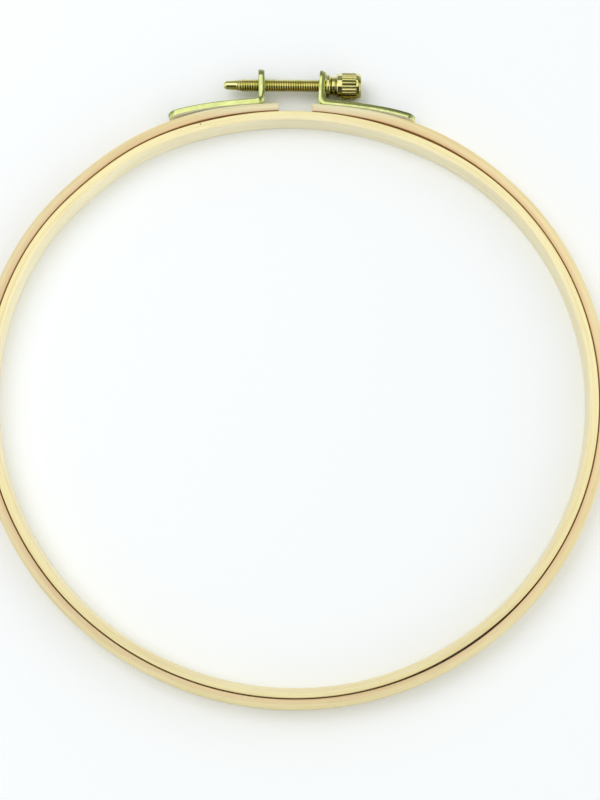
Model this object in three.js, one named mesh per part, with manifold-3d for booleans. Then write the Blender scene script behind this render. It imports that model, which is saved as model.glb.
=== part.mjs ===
// A wooden embroidery hoop with a screw clamp, lying flat, in millimetres.
// +Z is up, +Y points from the middle of the hoop to the clamp, and +X is on the thumb screw's head side.
// The fabric is held between a closed inner ring and a split outer ring. Two bent metal brackets are
// riveted to the outer ring's ends, and the thumb screw draws them together.

import * as THREE from 'three';
import { mergeVertices } from 'three/addons/utils/BufferGeometryUtils.js';
import Module from 'manifold-3d';

// Rings
const outerDiameter = 200;      // across the outer ring, before it is bent out of round
const ringDepth = 8;            // height of both rings as the hoop lies on a table
const innerThickness = 3.1;     // radial thickness of the inner ring
const outerThickness = 3.1;     // radial thickness of the outer ring
const endThickness = 2.3;       // the outer ring is shaved thinner at its two ends
const taperStart = 0.1;         // angle from the clamp, in radians, where the thin end begins to thicken
const taperEnd = 0.36;          // and where it reaches the full thickness
const splitWidth = 11.1;        // between the outer ring's two ends
const ringClearance = 0.3;      // between the two rings all round
const edgeRounding = 0.55;      // sanded edges of the wood

// Hand-bent wood is never a true circle
const ovalSwing = 0.43;         // the ring is a little longer along this axis than across it
const ovalAngle = THREE.MathUtils.degToRad(-38);
const clampFlat = { depth: 3.4, angle: THREE.MathUtils.degToRad(89), spread: THREE.MathUtils.degToRad(38.5) };
const sideFlat = { depth: 0.66, angle: THREE.MathUtils.degToRad(135), spread: THREE.MathUtils.degToRad(10) };
// Places where the inner ring stands further from the outer one
const slackDepth = 0.3;
const slackPlaces = [
  { angle: THREE.MathUtils.degToRad(106), spread: THREE.MathUtils.degToRad(10) },
  { angle: THREE.MathUtils.degToRad(67), spread: THREE.MathUtils.degToRad(13) },
  { angle: THREE.MathUtils.degToRad(-56), spread: THREE.MathUtils.degToRad(13) },
];

// The outer ring's strip is a little stouter here
const stoutPlace = { extra: 0.45, angle: THREE.MathUtils.degToRad(62), spread: THREE.MathUtils.degToRad(14) };

// Brackets, bent from strip
const sheetThickness = 2;
const bracketWidth = 6.8;       // height of the strip as the hoop lies on a table
const bendInside = 0.45;        // inside radius of the bend
const seatGap = 0.12;           // between a strip and the wood under it
const stripTipLength = 2.5;     // rounded end of a strip, measured along it
// side is 1 for +X and -1 for -X; face is the distance from the middle of the split to the foot of the
// ear's near face; lean tips the ear away from the split, in radians; reach is the angle from the ear to
// the strip's far end, in radians; lift is how far the far end stands off the wood; tip is how far the
// ear's tip is beyond the screw's axis
const plainEar = { side: 1, face: 7.4, lean: 0.055, reach: 0.334, lift: 0.5, tip: 5.2 };
const threadedEar = { side: -1, face: 10.1, lean: 0.02, reach: 0.322, lift: 0.9, tip: 5.45 };
const bossRadius = 2.6;         // metal drawn out round the threaded hole
const bossLength = 0.5;

// Thumb screw
const axisHeight = 4.5;         // above the table
const axisStandOff = 7.57;      // from the wood's outer face to the screw's axis
const threadRadius = 2.08;
const threadClearance = 0.1;    // round the thread in the threaded ear
const plainHoleClearance = 0.3; // round the thread in the plain ear
const collarGap = 0.1;          // between the collar and the plain ear
const tipX = -23.5;             // end of the plain pilot
const pilotRadius = 1.38;
const pilotLength = 3.6;
const threadRunIn = 1.5;        // cone from the pilot up to the full thread
const collarRadius = 4;
const collarLength = 1.6;
const neckRadius = 2.8;
const beadRadius = 3.2;
const beadLength = 1.7;
const shoulderRadius = 4.02;
const shoulderLength = 1.85;
const drumRadius = 4.4;
const drumLength = 4.75;
const drumEndLength = 1.6;      // the drum's domed end
const drumEndRadius = 3.6;
const fluteCount = 22;
const fluteDepth = 0.34;
const slotWidth = 0.9;          // screwdriver slot
const slotDepth = 1.1;

// Rivets that hold a strip to the wood
const rivetShank = 0.9;
const rivetHead = 1.9;
const rivetHeadHeight = 0.8;
const rivetClearance = 0.1;
const rivetBite = 1.6;          // length of the shank in the wood
const rivetAlong = [0.3, 0.74]; // places along the strip, from its ear to its far end

// How finely the curves are cut
const ringSteps = 144;
const edgeSteps = 1;
const turnedSteps = 40;
const rivetSteps = 16;
const pointsPerFlute = 6;
const stripSteps = 12;
const bendSteps = 8;
const domeSteps = 5;

const cutBeyond = 1;            // how far a cutting or a joined shape runs on past the face it meets

const wasm = await Module();
wasm.setup();

// A closed three.js geometry as a solid that can be cut and joined
function toSolid(geometry) {
  const bare = geometry.clone();
  bare.deleteAttribute('normal');
  bare.deleteAttribute('uv');
  const merged = mergeVertices(bare, 1e-4);
  const mesh = new wasm.Mesh({
    numProp: 3,
    vertProperties: new Float32Array(merged.attributes.position.array),
    triVerts: new Uint32Array(merged.index.array),
  });
  return new wasm.Manifold(mesh);
}

function toGeometry(solid) {
  const mesh = solid.getMesh();
  const geometry = new THREE.BufferGeometry();
  geometry.setAttribute('position', new THREE.BufferAttribute(new Float32Array(mesh.vertProperties), 3));
  geometry.setIndex(new THREE.BufferAttribute(new Uint32Array(mesh.triVerts), 1));
  geometry.computeVertexNormals();
  return geometry;
}

// A smooth dip, one at its middle and fading to nothing, at an angle round the hoop
function dip(angle, place) {
  const turn = angle - place.angle;
  const away = Math.atan2(Math.sin(turn), Math.cos(turn));
  return Math.exp(-((away / place.spread) ** 2));
}

// Radius of the line midway between the two rings
const fitRadius = outerDiameter / 2 - outerThickness - ringClearance / 2;
function fitLine(angle) {
  return fitRadius + ovalSwing * Math.cos(2 * (angle - ovalAngle))
    - clampFlat.depth * dip(angle, clampFlat) - sideFlat.depth * dip(angle, sideFlat);
}

function innerRingFace(angle) {
  const slack = slackPlaces.reduce((most, place) => Math.max(most, dip(angle, place)), 0);
  return fitLine(angle) - ringClearance / 2 - innerThickness - slackDepth * slack;
}

function outerRingFace(angle) {
  return fitLine(angle) + ringClearance / 2;
}

// The outer ring's thickness, less towards its two ends
function outerRingThickness(angle) {
  const fromClamp = Math.abs(angle - Math.PI / 2);
  const taper = THREE.MathUtils.smoothstep(fromClamp, taperStart, taperEnd);
  return endThickness + (outerThickness - endThickness) * taper + stoutPlace.extra * dip(angle, stoutPlace);
}

function woodOutside(angle) {
  return outerRingFace(angle) + outerRingThickness(angle);
}

function polar(radius, angle) {
  return new THREE.Vector2(radius * Math.cos(angle), radius * Math.sin(angle));
}

// A rectangle's outline with rounded corners, closed on itself
function roundedSection(x0, x1, y0, y1, rounding, steps) {
  const outline = new THREE.Path();
  outline.absarc(x1 - rounding, y0 + rounding, rounding, -Math.PI / 2, 0);
  outline.absarc(x1 - rounding, y1 - rounding, rounding, 0, Math.PI / 2);
  outline.absarc(x0 + rounding, y1 - rounding, rounding, Math.PI / 2, Math.PI);
  outline.absarc(x0 + rounding, y0 + rounding, rounding, Math.PI, 1.5 * Math.PI);
  const points = outline.getPoints(steps);
  points.push(points[0].clone());
  return points;
}

// A ring is turned as a true circle and then bent: faceAt gives its inner face at an angle
function bentRing(thickness, faceAt, thicknessAt) {
  const section = roundedSection(fitRadius, fitRadius + thickness, 0, ringDepth, edgeRounding, edgeSteps);
  const ring = new THREE.LatheGeometry(section, ringSteps);
  ring.rotateX(Math.PI / 2);
  const at = ring.attributes.position;
  for (let i = 0; i < at.count; i += 1) {
    const angle = Math.atan2(at.getY(i), at.getX(i));
    const along = (Math.hypot(at.getX(i), at.getY(i)) - fitRadius) / thickness;
    const bent = polar(faceAt(angle) + along * thicknessAt(angle), angle);
    at.setXY(i, bent.x, bent.y);
  }
  return ring;
}

// A solid turned about the X axis, from pairs of distance along X and radius
function turned(profile, steps) {
  const points = profile.map(([along, radius]) => new THREE.Vector2(radius, along));
  const geometry = new THREE.LatheGeometry(points, steps);
  geometry.rotateZ(-Math.PI / 2);
  return toSolid(geometry);
}

function box(x0, x1, y0, y1, z0, z1) {
  const geometry = new THREE.BoxGeometry(x1 - x0, y1 - y0, z1 - z0);
  geometry.translate((x0 + x1) / 2, (y0 + y1) / 2, (z0 + z1) / 2);
  return toSolid(geometry);
}

// A round rod along the Z axis of a frame
function rod(radius, z0, z1, steps, frame) {
  const geometry = new THREE.CylinderGeometry(radius, radius, z1 - z0, steps);
  geometry.rotateX(Math.PI / 2);
  geometry.translate(0, 0, (z0 + z1) / 2);
  return toSolid(geometry.applyMatrix4(frame));
}

// Where the screw passes, and where each bracket lies
const axisY = woodOutside(Math.PI / 2) + axisStandOff;

// The angle at which an ear's gap side face meets the strip
function earAngle(ear) {
  return Math.PI / 2 - ear.side * Math.asin(ear.face / woodOutside(Math.PI / 2));
}

// A point of the strip's wood side, at a share of its length from the ear, and out by a distance
function stripPoint(ear, share, out) {
  const angle = earAngle(ear) - ear.side * ear.reach * share;
  return polar(woodOutside(angle) + seatGap + ear.lift * share ** 2 + out, angle);
}

// The strip's frame at a share of its length: origin on its outer face, X away from the ear along the
// strip, Z out of the wood
function stripFrame(ear, share) {
  const step = 0.01;
  const here = stripPoint(ear, share, sheetThickness);
  const run = stripPoint(ear, share + step, sheetThickness).sub(stripPoint(ear, share - step, sheetThickness));
  const tangent = new THREE.Vector3(run.x, run.y, 0).normalize();
  const across = new THREE.Vector3(0, 0, -ear.side);
  const outward = new THREE.Vector3().crossVectors(tangent, across);
  const frame = new THREE.Matrix4().makeBasis(tangent, across, outward);
  return frame.setPosition(here.x, here.y, axisHeight);
}

// How far from the middle of the split an ear's near face is, at a distance Y from the hoop's middle
function earFaceAt(ear, y) {
  return ear.face + Math.tan(ear.lean) * (y - stripPoint(ear, 0, 0).y);
}

// The bracket seen from above: strip, bend and ear as one bent outline
function bracketOutline(ear) {
  const bendOutside = bendInside + sheetThickness;
  const stripLength = ear.reach * woodOutside(earAngle(ear));
  const bendShare = bendOutside / stripLength;
  const foot = stripPoint(ear, 0, 0);
  const woodSide = stripPoint(ear, bendShare, 0);
  const topSide = stripPoint(ear, bendShare, sheetThickness);
  const tipY = axisY + ear.tip;
  const hollowY = foot.y + bendOutside;
  const near = (y) => ear.side * earFaceAt(ear, y);
  const far = (y) => ear.side * (earFaceAt(ear, y) + sheetThickness);
  const outline = new THREE.Shape();
  outline.moveTo(woodSide.x, woodSide.y);
  outline.quadraticCurveTo(near(foot.y), foot.y, near(hollowY), hollowY);
  outline.lineTo(near(tipY), tipY);
  outline.lineTo(far(tipY), tipY);
  outline.lineTo(far(hollowY), hollowY);
  outline.quadraticCurveTo(far(foot.y), foot.y + sheetThickness, topSide.x, topSide.y);
  const shares = [...Array(stripSteps).keys()].map((i) => bendShare + (1 - bendShare) * ((i + 1) / stripSteps));
  for (const share of shares) {
    const point = stripPoint(ear, share, sheetThickness);
    outline.lineTo(point.x, point.y);
  }
  for (const share of shares.reverse()) {
    const point = stripPoint(ear, share, 0);
    outline.lineTo(point.x, point.y);
  }
  outline.closePath();
  return outline;
}

// What is cut away to leave a rounded end, length long, on a strip that runs along a frame's X axis
function roundEnd(frame, length) {
  const reach = 2 * sheetThickness + bossLength;
  const block = new THREE.BoxGeometry(2 * length, 2 * bracketWidth, 2 * reach);
  block.translate(length, 0, 0);
  const stretch = new THREE.Matrix4().makeScale(length / (bracketWidth / 2), 1, 1);
  const round = rod(bracketWidth / 2, -2 * reach, 2 * reach, turnedSteps, frame.clone().multiply(stretch));
  return toSolid(block.applyMatrix4(frame)).subtract(round);
}

function bracket(ear, holeRadius, hasBoss) {
  const blank = new THREE.ExtrudeGeometry(bracketOutline(ear), {
    depth: bracketWidth, bevelEnabled: false, curveSegments: bendSteps,
  });
  blank.translate(0, 0, axisHeight - bracketWidth / 2);

  const alongEar = new THREE.Matrix4().makeBasis(
    new THREE.Vector3(0, 1, 0), new THREE.Vector3(0, 0, 1), new THREE.Vector3(1, 0, 0));
  const earMiddle = ear.side * (earFaceAt(ear, axisY) + sheetThickness / 2);
  const earRound = bracketWidth / 2;
  const earEnd = alongEar.clone().setPosition(earMiddle, axisY + ear.tip - earRound, axisHeight);
  const tipShare = 1 - stripTipLength / (ear.reach * woodOutside(earAngle(ear)));
  let solid = toSolid(blank)
    .subtract(roundEnd(earEnd, earRound))
    .subtract(roundEnd(stripFrame(ear, tipShare), stripTipLength));

  const hole = alongEar.clone().setPosition(earMiddle, axisY, axisHeight);
  if (hasBoss) {
    const bossEnd = sheetThickness / 2 + bossLength;
    solid = solid.add(rod(bossRadius, 0, bossEnd, turnedSteps, hole));
  }
  solid = solid.subtract(rod(holeRadius, -2 * sheetThickness, 2 * sheetThickness, turnedSteps, hole));
  for (const share of rivetAlong) {
    const frame = stripFrame(ear, share);
    const shankHole = rod(rivetShank + rivetClearance, -2 * sheetThickness, sheetThickness, rivetSteps, frame);
    solid = solid.subtract(shankHole);
  }
  return toGeometry(solid);
}

// From a strip's outer face to the end of a rivet's shank in the wood
function rivetLength(ear, share) {
  return sheetThickness + seatGap + ear.lift * share ** 2 + rivetBite;
}

// A blind hole in the wood for a rivet's shank
function rivetHole(ear, share) {
  const bottom = -(rivetLength(ear, share) + rivetClearance);
  return rod(rivetShank + rivetClearance, bottom, sheetThickness, rivetSteps, stripFrame(ear, share));
}

function rivet(ear, share) {
  const shankEnd = -rivetLength(ear, share);
  const points = [
    new THREE.Vector2(0, shankEnd),
    new THREE.Vector2(rivetShank, shankEnd),
    new THREE.Vector2(rivetShank, rivetClearance),
  ];
  for (let i = 0; i <= domeSteps; i += 1) {
    const turn = (i / domeSteps) * Math.PI / 2;
    const radius = i === domeSteps ? 0 : rivetHead * Math.cos(turn);
    points.push(new THREE.Vector2(radius, rivetClearance + rivetHeadHeight * Math.sin(turn)));
  }
  const geometry = new THREE.LatheGeometry(points, rivetSteps);
  geometry.rotateX(Math.PI / 2);
  geometry.applyMatrix4(stripFrame(ear, share));
  return toGeometry(toSolid(geometry));
}

function innerRing() {
  return toGeometry(toSolid(bentRing(innerThickness, innerRingFace, () => innerThickness)));
}

function outerRing() {
  let solid = toSolid(bentRing(outerThickness, outerRingFace, outerRingThickness));
  const half = splitWidth / 2;
  solid = solid.subtract(box(-half, half, 0, outerDiameter, -ringDepth, 2 * ringDepth));
  for (const ear of [plainEar, threadedEar]) {
    for (const share of rivetAlong) {
      solid = solid.subtract(rivetHole(ear, share));
    }
  }
  return toGeometry(solid);
}

// The thumb screw: one turned piece from its pilot to the domed end of its fluted drum
function thumbScrew() {
  const collarX = earFaceAt(plainEar, axisY + collarRadius) + sheetThickness + collarGap;
  const beadX = collarX + collarLength;
  const shoulderX = beadX + beadLength;
  const drumX = shoulderX + shoulderLength;
  const domeX = drumX + drumLength;
  const endX = domeX + drumEndLength;
  const pilotEnd = tipX + pilotLength;
  const tipRound = pilotRadius * 0.55;
  const stem = turned([
    [tipX, 0],
    [tipX, pilotRadius - tipRound],
    [tipX + tipRound * 0.3, pilotRadius - tipRound * 0.3],
    [tipX + tipRound, pilotRadius],
    [pilotEnd, pilotRadius],
    [pilotEnd + threadRunIn, threadRadius],
    [collarX, threadRadius],
    [collarX, collarRadius * 0.9],
    [collarX + collarLength * 0.25, collarRadius],
    [collarX + collarLength * 0.5, collarRadius * 0.97],
    [beadX - collarLength * 0.1, beadRadius],
    [beadX, neckRadius],
    [beadX + beadLength * 0.2, beadRadius * 0.93],
    [beadX + beadLength * 0.5, beadRadius],
    [beadX + beadLength * 0.8, beadRadius * 0.93],
    [shoulderX, neckRadius],
    [shoulderX, shoulderRadius * 0.9],
    [shoulderX + shoulderLength * 0.2, shoulderRadius],
    [drumX + drumLength / 2, shoulderRadius],
    [drumX + drumLength / 2, 0],
  ], turnedSteps);

  const flutes = new THREE.Shape();
  const count = fluteCount * pointsPerFlute;
  for (let i = 0; i < count; i += 1) {
    const turn = (i / count) * 2 * Math.PI;
    const crest = Math.abs(Math.cos((turn * fluteCount) / 2));
    const point = polar(drumRadius - fluteDepth * (1 - crest), turn);
    if (i === 0) {
      flutes.moveTo(point.x, point.y);
    } else {
      flutes.lineTo(point.x, point.y);
    }
  }
  flutes.closePath();
  const prism = new THREE.ExtrudeGeometry(flutes, { depth: endX - drumX, bevelEnabled: false });
  prism.rotateY(Math.PI / 2);
  prism.translate(drumX, 0, 0);
  const dome = turned([
    [drumX - cutBeyond, 0],
    [drumX - cutBeyond, drumRadius * 1.2],
    [domeX - drumEndLength * 0.3, drumRadius * 1.02],
    [domeX + drumEndLength * 0.45, (drumRadius * 2 + drumEndRadius) / 3],
    [endX, drumEndRadius],
    [endX, 0],
  ], turnedSteps);
  const slot = box(endX - slotDepth, endX + cutBeyond, -slotWidth / 2, slotWidth / 2, -drumRadius, drumRadius);
  const drum = toSolid(prism).intersect(dome).subtract(slot);
  return toGeometry(stem.add(drum).translate([0, axisY, axisHeight]));
}

const beech = new THREE.MeshStandardMaterial({ color: 0xefe3b0, roughness: 0.62, metalness: 0 });
const tanBeech = new THREE.MeshStandardMaterial({ color: 0xe2d0a0, roughness: 0.65, metalness: 0 });
const platedSteel = new THREE.MeshStandardMaterial({ color: 0xc9d37a, roughness: 0.3, metalness: 1 });
const brass = new THREE.MeshStandardMaterial({ color: 0xb99a4c, roughness: 0.28, metalness: 1 });

const hoop = new THREE.Group();

function addPiece(name, geometry, material) {
  const mesh = new THREE.Mesh(geometry, material);
  mesh.name = name;
  hoop.add(mesh);
}

addPiece('inner_ring', innerRing(), beech);
addPiece('outer_ring', outerRing(), tanBeech);
addPiece('plain_bracket', bracket(plainEar, threadRadius + plainHoleClearance, false), platedSteel);
addPiece('threaded_bracket', bracket(threadedEar, threadRadius + threadClearance, true), platedSteel);
addPiece('thumb_screw', thumbScrew(), brass);
rivetAlong.forEach((share, i) => {
  addPiece(`plain_rivet_${i + 1}`, rivet(plainEar, share), platedSteel);
  addPiece(`threaded_rivet_${i + 1}`, rivet(threadedEar, share), platedSteel);
});

// The origin is on the table, under the middle of the whole hoop's outline
const extent = new THREE.Box3().setFromObject(hoop);
const middle = extent.getCenter(new THREE.Vector3());
hoop.position.set(-middle.x, -middle.y, -extent.min.z);

export default hoop;
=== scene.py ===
# A wooden embroidery hoop with a screw clamp, lying on a pale table.
# Metres, +Z up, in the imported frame: +Y points from the middle of the hoop to the clamp, and +X to the
# screw's head. Turns and angles are in radians unless a name says otherwise.

import math

import bmesh
import bpy
import numpy as np
from mathutils import Matrix, Vector


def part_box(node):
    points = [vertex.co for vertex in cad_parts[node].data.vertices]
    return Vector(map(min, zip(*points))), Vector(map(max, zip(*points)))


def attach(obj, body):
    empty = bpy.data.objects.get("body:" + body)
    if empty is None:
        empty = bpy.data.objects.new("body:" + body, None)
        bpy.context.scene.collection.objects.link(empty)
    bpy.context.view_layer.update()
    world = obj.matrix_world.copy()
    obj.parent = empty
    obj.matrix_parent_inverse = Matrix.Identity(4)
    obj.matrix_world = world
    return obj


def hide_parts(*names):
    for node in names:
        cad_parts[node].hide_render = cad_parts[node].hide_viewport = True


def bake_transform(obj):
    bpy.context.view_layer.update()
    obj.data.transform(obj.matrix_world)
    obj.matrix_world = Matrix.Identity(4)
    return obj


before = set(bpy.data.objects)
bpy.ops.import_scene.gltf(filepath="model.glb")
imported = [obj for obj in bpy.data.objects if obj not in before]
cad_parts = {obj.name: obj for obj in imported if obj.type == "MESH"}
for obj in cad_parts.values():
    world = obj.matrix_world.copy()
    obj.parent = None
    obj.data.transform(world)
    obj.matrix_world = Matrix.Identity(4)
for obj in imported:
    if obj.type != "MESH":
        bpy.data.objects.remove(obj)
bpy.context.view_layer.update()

MM = 0.001
MERGE_DISTANCE = 1e-7
# edges sharper than this many degrees stay sharp in shading
SHARP, SHARP_RING, SHARP_SCREW = 35, 50, 38

# Camera, at the photograph's viewing angle
CAMERA_FROM_MIDDLE = (0.0, -0.112661, 0.489750)
CAMERA_TURN = (12.6594, -0.4091, 0.4807)
CAMERA_LENS = 70.667
CAMERA_SENSOR = 36.0
HALF_PIXEL = 0.5 / 800

# Table
TABLE_HALF = 3.0
TABLE_COLOUR = (0.812, 0.83, 0.832, 1)
TABLE_LIFT = (0.15, 0.158, 0.165, 1)

# Light on matt surfaces
HORIZON_LEVEL = 1.07
ZENITH_LEVEL = 0.57
RIGHT_SHARE = 0.42
LAMP_SIZE = 1.8
LAMP_WATTS = 21
LAMP_PLACE = (-1.15, 0.55, 1.9)

# Light in reflections; the window's sides are in degrees from overhead: low, high and soft edge
WINDOW_LEVEL = 1.2
WINDOW_X = (-38, 22, 9)
WINDOW_Y = (-20, 33, 8)
SIDE_LEVEL = 0.9
DARKEST = 0.03

# Clamp and hoop centre, from the frame
SCREW_LOW, SCREW_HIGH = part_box("thumb_screw")
AXIS_Y = (SCREW_LOW.y + SCREW_HIGH.y) / 2
AXIS_HEIGHT = (SCREW_LOW.z + SCREW_HIGH.z) / 2
AXIS_FROM_MIDDLE = 103.2765 * MM
RING_MIDDLE = (0.0, AXIS_Y - AXIS_FROM_MIDDLE)

# Rings
RING_STEPS = 720
SCARF_DEGREES = 108
EDGE_ROUNDING = 0.55 * MM
OUTSIDE_ROUNDING = 0.3 * MM
ROUNDING_MEAN, ROUNDING_WOBBLE = 0.86, 0.12
TOP_WOBBLE = 0.04 * MM
EDGE_STEPS = 6
WALL_STEPS = 4
SPLIT_HALF = 5.55 * MM
SPLIT_END_ROUNDING = 0.18 * MM
HALF_WALL = 1.6 * MM
HALF_DEPTH = 4 * MM

# Brackets: the strip, its bend, the ears and their holes
SHEET = 2.0 * MM
INSIDE_BOX = 0.03 * MM
STRIP_HALF_WIDTH = 3.4 * MM
BEND_INSIDE = 0.45 * MM
SEAT_GAP = 0.12 * MM
STRIP_TIP = 3.2 * MM
# side: +1 towards +X; face: from the middle of the split to the ear's near face at its foot;
# lean: the ear tips away from the split; reach: the angle from the ear to the strip's far end;
# lift: how far that end stands off the wood; tip: how far the ear stands above the screw's axis;
# outer_edge, wood_edge, strip_edge: depth, drop and power of the blank's rolled edges, away from the wood,
# on the ear's other side, and next to the wood; crease: how sharp the fold is, which widens its bulge and
# deepens the painted shade in it; worn: between which shares of its length the outer edge darkens with a
# painted dark reflection
PLAIN_EAR = dict(side=1, face=7.4 * MM, lean=0.055, reach=0.334, lift=0.75 * MM, tip=5.2 * MM,
                 outer_edge=(1.25 * MM, 0.52 * MM, 1.3), wood_edge=(0.12 * MM, 0.07 * MM, 2.0),
                 strip_edge=(0.12 * MM, 0.07 * MM, 2.0), crease=0.3, painted_dark_edge=(0.45, 0.85))
THREADED_EAR = dict(side=-1, face=10.1 * MM, lean=0.02, reach=0.322, lift=1.3 * MM, tip=5.45 * MM,
                    outer_edge=(0.4 * MM, 0.2 * MM, 2.0), wood_edge=(1.1 * MM, 0.26 * MM, 1.6),
                    strip_edge=(0.1 * MM, 0.05 * MM, 2.0), crease=1.0, painted_dark_edge=(0.93, 0.97))
# pieces along the ear's middle line, its bend and the strip's, and outline points on the rounded ends
EAR_STEPS, BEND_STEPS, STRIP_STEPS = 60, 24, 160
ROUND_END_POINTS = 15
SLIP_STEPS = 40
EDGE_STEP, FACE_STEP = 0.05 * MM, 0.03 * MM
BULGE = 0.32 * MM
# how far from an ear's tip its painted shade reaches, darkest at the tip
PAINTED_SHADE_TIP = 2.9 * MM
BOSS_RADIUS = 2.4 * MM
BOSS_LENGTH = 0.3 * MM
# a drawn boss beyond the ear's face: how far out, and how much wider than BOSS_RADIUS, from its foot up
BOSS_FOOT = ((-0.02 * MM, 0.3 * MM), (0.05 * MM, 0.12 * MM), (0.14 * MM, 0.02 * MM))
BOSS_TOP = ((-0.1 * MM, 0.0), (-0.03 * MM, -0.04 * MM), (0.0, -0.12 * MM))
THREADED_HOLE = 2.3 * MM
PLAIN_HOLE = 2.45 * MM
HOLE_FLARE = 0.16 * MM
HOLE_COLUMNS = 64

# Rivets
RIVET_PLACES = (0.3, 0.74)
RIVET_SHANK = 0.9 * MM
RIVET_HEAD = 1.9 * MM
RIVET_HEAD_HEIGHT = 0.8 * MM
RIVET_RIM = 0.06 * MM
RIVET_CLEARANCE = 0.1 * MM
RIVET_BITE = 1.6 * MM
RIVET_COLUMNS = 40

# Thumb screw
PITCH = 0.794 * MM
THREAD_RADIUS = 2.2 * MM
THREAD_DEPTH = 0.42 * MM
THREAD_ROWS = 10
PILOT_RADIUS = 1.42 * MM
PILOT_FOOT_RADIUS = 1.62 * MM
PILOT_LENGTH = 4.2 * MM
NOSE_LENGTH = 1.2 * MM
NOSE_REACH = 0.3 * MM
THREAD_RUN_IN = 2.2 * MM
COLLAR_LENGTH = 1.6 * MM
COLLAR_RADIUS = 4.0 * MM
BEAD_LENGTH = 1.7 * MM
BEAD_RADIUS = 3.2 * MM
BEAD_STEPS = 10
NECK_RADIUS = 2.8 * MM
SHOULDER_LENGTH = 1.85 * MM
SHOULDER_RADIUS = 4.02 * MM
DRUM_LENGTH = 4.75 * MM
DRUM_RADIUS = 4.4 * MM
DRUM_END_LENGTH = 1.6 * MM
DRUM_END_RADIUS = 3.6 * MM
DRUM_END_STEP = 0.15 * MM
DRUM_END_SHARE = 0.35
DRUM_END_LIP = 0.3 * MM
# outlines as shares of each one's length and radius
COLLAR_SHAPE = ((0.05, 0.93), (0.14, 0.98), (0.28, 1.0), (0.5, 1.0), (0.64, 0.98), (0.76, 0.93), (0.9, 0.8))
COLLAR_FOOT = 0.86
SHOULDER_SHAPE = ((0.0, 0.84), (0.06, 0.93), (0.16, 0.985), (0.3, 1.0), (0.94, 1.0))
FLUTES = 22
FLUTE_DEPTH = 0.34 * MM
SCREW_COLUMNS = FLUTES * 8
SLOT_WIDTH = 0.9 * MM
SLOT_DEPTH = 1.1 * MM
# the turn about the screw's axis at which the brown painted dark reflection on its underside is darkest
DARK_REFLECTION_TURN = math.radians(200)


def wave(turn, seed, count=6):
    """A smooth closed wobble between about -1 and 1, from an angle."""
    draw = np.random.default_rng(seed)
    total = np.zeros_like(turn)
    for k in range(1, count + 1):
        total += np.sin(k * turn * draw.integers(1, 4) + draw.uniform(0, 2 * math.pi)) / math.sqrt(k)
    return total / count ** 0.5 / 1.5


def new_piece(name, vertices, faces, grain=None, flat=(), smooth_under=SHARP):
    """A mesh object, smooth but for its flat faces. grain: each corner's place in the wood or sheet, mm."""
    mesh = bpy.data.meshes.new(name)
    mesh.from_pydata([tuple(v) for v in vertices], [], faces)
    if grain is not None:
        layer = mesh.attributes.new("grain", "FLOAT_VECTOR", "CORNER")
        layer.data.foreach_set("vector", np.asarray(grain, np.float32).ravel())
    mesh.validate()
    for polygon in mesh.polygons:
        polygon.use_smooth = polygon.index not in flat
    mesh.set_sharp_from_angle(angle=math.radians(smooth_under))
    piece = bpy.data.objects.new(name, mesh)
    bpy.context.scene.collection.objects.link(piece)
    return piece


def mark(piece, name, values):
    """Give each vertex a number for the materials to read."""
    layer = piece.data.attributes.new(name, "FLOAT", "POINT")
    layer.data.foreach_set("value", np.asarray(values, np.float32).ravel())


def face_out(piece, merge=True):
    """Turn all faces outwards, after merging the vertices that lie in one place."""
    work = bmesh.new()
    work.from_mesh(piece.data)
    if merge:
        bmesh.ops.remove_doubles(work, verts=work.verts, dist=MERGE_DISTANCE)
        bmesh.ops.dissolve_degenerate(work, edges=work.edges, dist=MERGE_DISTANCE)
    bmesh.ops.recalc_face_normals(work, faces=work.faces)
    work.to_mesh(piece.data)
    work.free()


def cut_or_join(piece, tool, operation):
    """Apply a boolean with another solid, which is used up."""
    modifier = piece.modifiers.new("cut", "BOOLEAN")
    modifier.object = tool
    modifier.operation = operation
    modifier.solver = "EXACT"
    with bpy.context.temp_override(object=piece, active_object=piece):
        bpy.ops.object.modifier_apply(modifier=modifier.name)
    bpy.data.objects.remove(tool)


def ring_levels(name):
    """Angles round the hoop with the radii of a node's inner and outer faces there."""
    points = np.array([v.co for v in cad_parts[name].data.vertices], float)
    low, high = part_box(name)
    on_face = (np.abs(points[:, 2] - low.z) < 1e-6) | (np.abs(points[:, 2] - high.z) < 1e-6)
    x = points[on_face, 0] - RING_MIDDLE[0]
    y = points[on_face, 1] - RING_MIDDLE[1]
    turn = np.arctan2(y, x)
    radius = np.hypot(x, y)
    step = np.round(turn / math.radians(0.5)).astype(int)
    angles, inner, outer = [], [], []
    for key in sorted(set(step)):
        here = step == key
        if radius[here].max() - radius[here].min() > 2 * EDGE_ROUNDING:
            angles.append(turn[here].mean())
            inner.append(radius[here].min() - EDGE_ROUNDING)
            outer.append(radius[here].max() + EDGE_ROUNDING)
    return np.array(angles), np.array(inner), np.array(outer)


def ring_at(levels, turn):
    """The radii of a ring's inner and outer faces at some angles."""
    angles, inner, outer = levels
    full = 2 * math.pi
    return np.interp(turn, angles, inner, period=full), np.interp(turn, angles, outer, period=full)


# An angle at which the outer ring's wood, near its split, is measured
CLAMP_TURN = math.pi / 2 - 0.06
INNER_LEVELS = ring_levels("inner_ring")
OUTER_LEVELS = ring_levels("outer_ring")
RING_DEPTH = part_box("outer_ring")[1].z


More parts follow.
